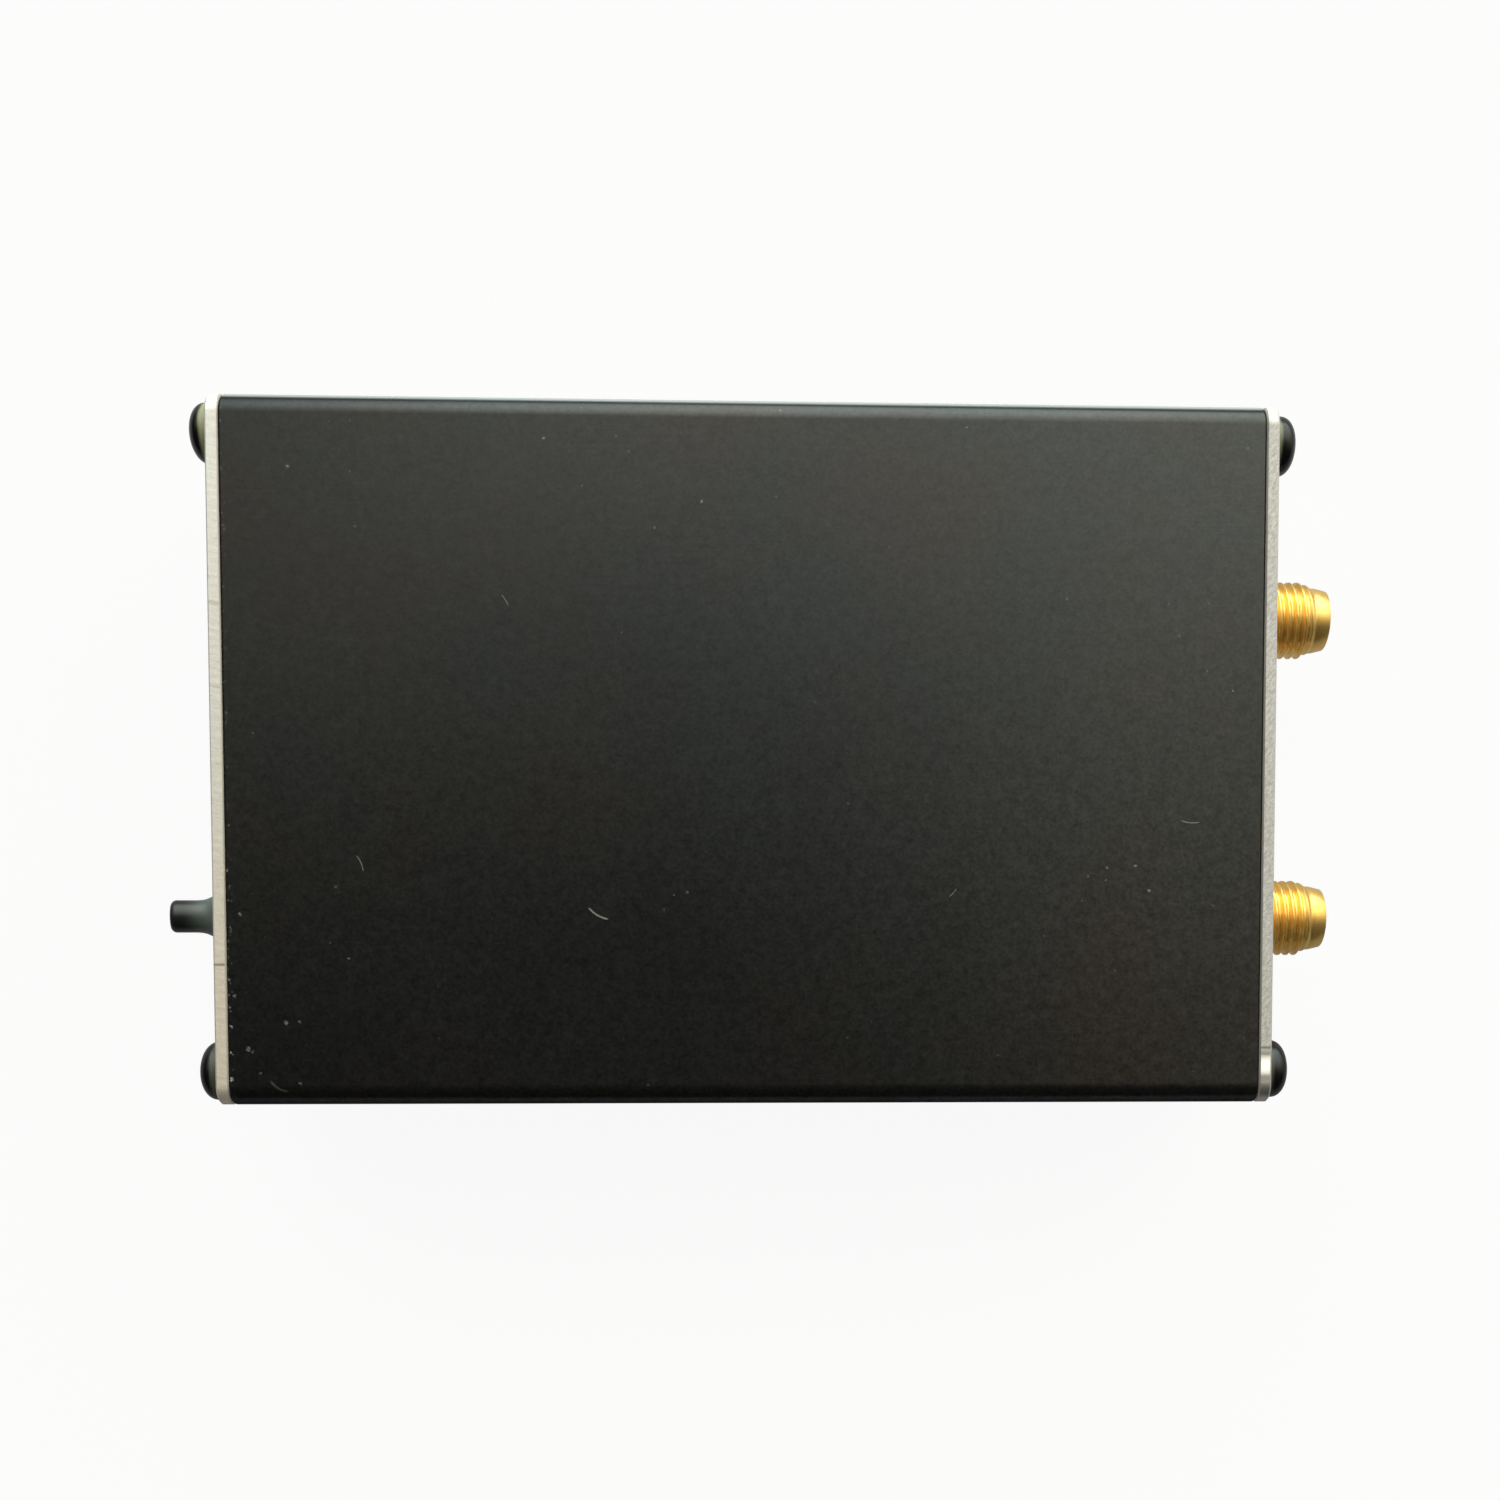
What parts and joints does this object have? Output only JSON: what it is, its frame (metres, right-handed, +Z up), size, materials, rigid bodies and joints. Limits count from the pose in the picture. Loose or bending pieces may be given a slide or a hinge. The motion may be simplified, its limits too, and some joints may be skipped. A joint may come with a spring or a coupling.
{
  "type": "usb spectrum analyzer",
  "caption": "Pocket spectrum analyzer: black split aluminium case, bright end panels, gold coaxial jacks, USB socket and a small toggle switch.",
  "frame": {"origin": "middle of the case's underside", "axes": "+X along the case towards the coaxial jacks, +Y across it, +Z up out of the top face that the picture shows"},
  "size_m": [0.0949, 0.0544, 0.023],
  "materials": {
    "black_anodised": "brushed, black anodised",
    "bright_aluminium": "sawn and brushed",
    "black_screw": "black zinc, semi-gloss",
    "gold_plate": "gold plated, polished",
    "ptfe": "white, waxy",
    "board_laminate": "green solder mask, satin",
    "nickel_plate": "nickel plated",
    "black_moulding": "moulded, satin",
    "chip_resin": "fine matt",
    "tantalum_resin": "satin",
    "led_resin": "clear, slightly milky"
  },
  "bodies": {
    "case": {"lower_shell": "black_anodised", "upper_shell": "black_anodised", "front_panel": "bright_aluminium", "rear_panel": "bright_aluminium", "front_screw_1": "black_screw", "front_screw_2": "black_screw", "front_screw_3": "black_screw", "front_screw_4": "black_screw", "rear_screw_1": "black_screw", "rear_screw_2": "black_screw", "rear_screw_3": "black_screw", "rear_screw_4": "black_screw", "circuit_board": "board_laminate", "rf_jack_1_body": "gold_plate", "rf_jack_1_contact": "gold_plate", "rf_jack_1_insulator": "ptfe", "rf_jack_2_body": "gold_plate", "rf_jack_2_contact": "gold_plate", "rf_jack_2_insulator": "ptfe", "usb_shell": "nickel_plate", "switch_frame": "nickel_plate", "switch_pivot_pin": "nickel_plate", "switch_terminal_1": "nickel_plate", "switch_terminal_2": "nickel_plate", "switch_terminal_3": "nickel_plate", "band_filter": "nickel_plate", "reference_oscillator": "nickel_plate", "controller_crystal": "nickel_plate", "usb_insert": "black_moulding", "switch_housing": "black_moulding", "usb_contact_1": "gold_plate", "usb_contact_2": "gold_plate", "usb_contact_3": "gold_plate", "usb_contact_4": "gold_plate", "usb_contact_5": "gold_plate", "controller_chip": "chip_resin", "usb_serial_chip": "chip_resin", "mixer_chip": "chip_resin", "log_detector_chip": "chip_resin", "regulator_1": "chip_resin", "regulator_2": "chip_resin", "synthesizer_1": "chip_resin", "synthesizer_2": "chip_resin", "power_inductor": "chip_resin", "tantalum_capacitor_1": "tantalum_resin", "tantalum_capacitor_2": "tantalum_resin", "tantalum_capacitor_3": "tantalum_resin", "power_led": "led_resin", "activity_led": "led_resin"},
    "lever": {"switch_lever": "black_moulding", "switch_plunger": "nickel_plate"},
    "rocker": {"switch_rocker": "nickel_plate"}
  },
  "joints": [
    {"name": "lever_toggle", "type": "hinge", "parent": "case", "child": "lever", "pos_m": [-0.0361, -0.0126, 0.01455], "axis": [0, -1, 0], "range_deg": [0, 25]},
    {"name": "rocker_tilt", "type": "hinge", "parent": "case", "child": "rocker", "pos_m": [-0.03297, -0.0126, 0.01455], "axis": [0, -1, 0], "range_deg": [-16, 0]}
  ],
  "couplings": [
    {"joint": "rocker_tilt", "follows": "lever_toggle", "ratio": -0.64}
  ]
}
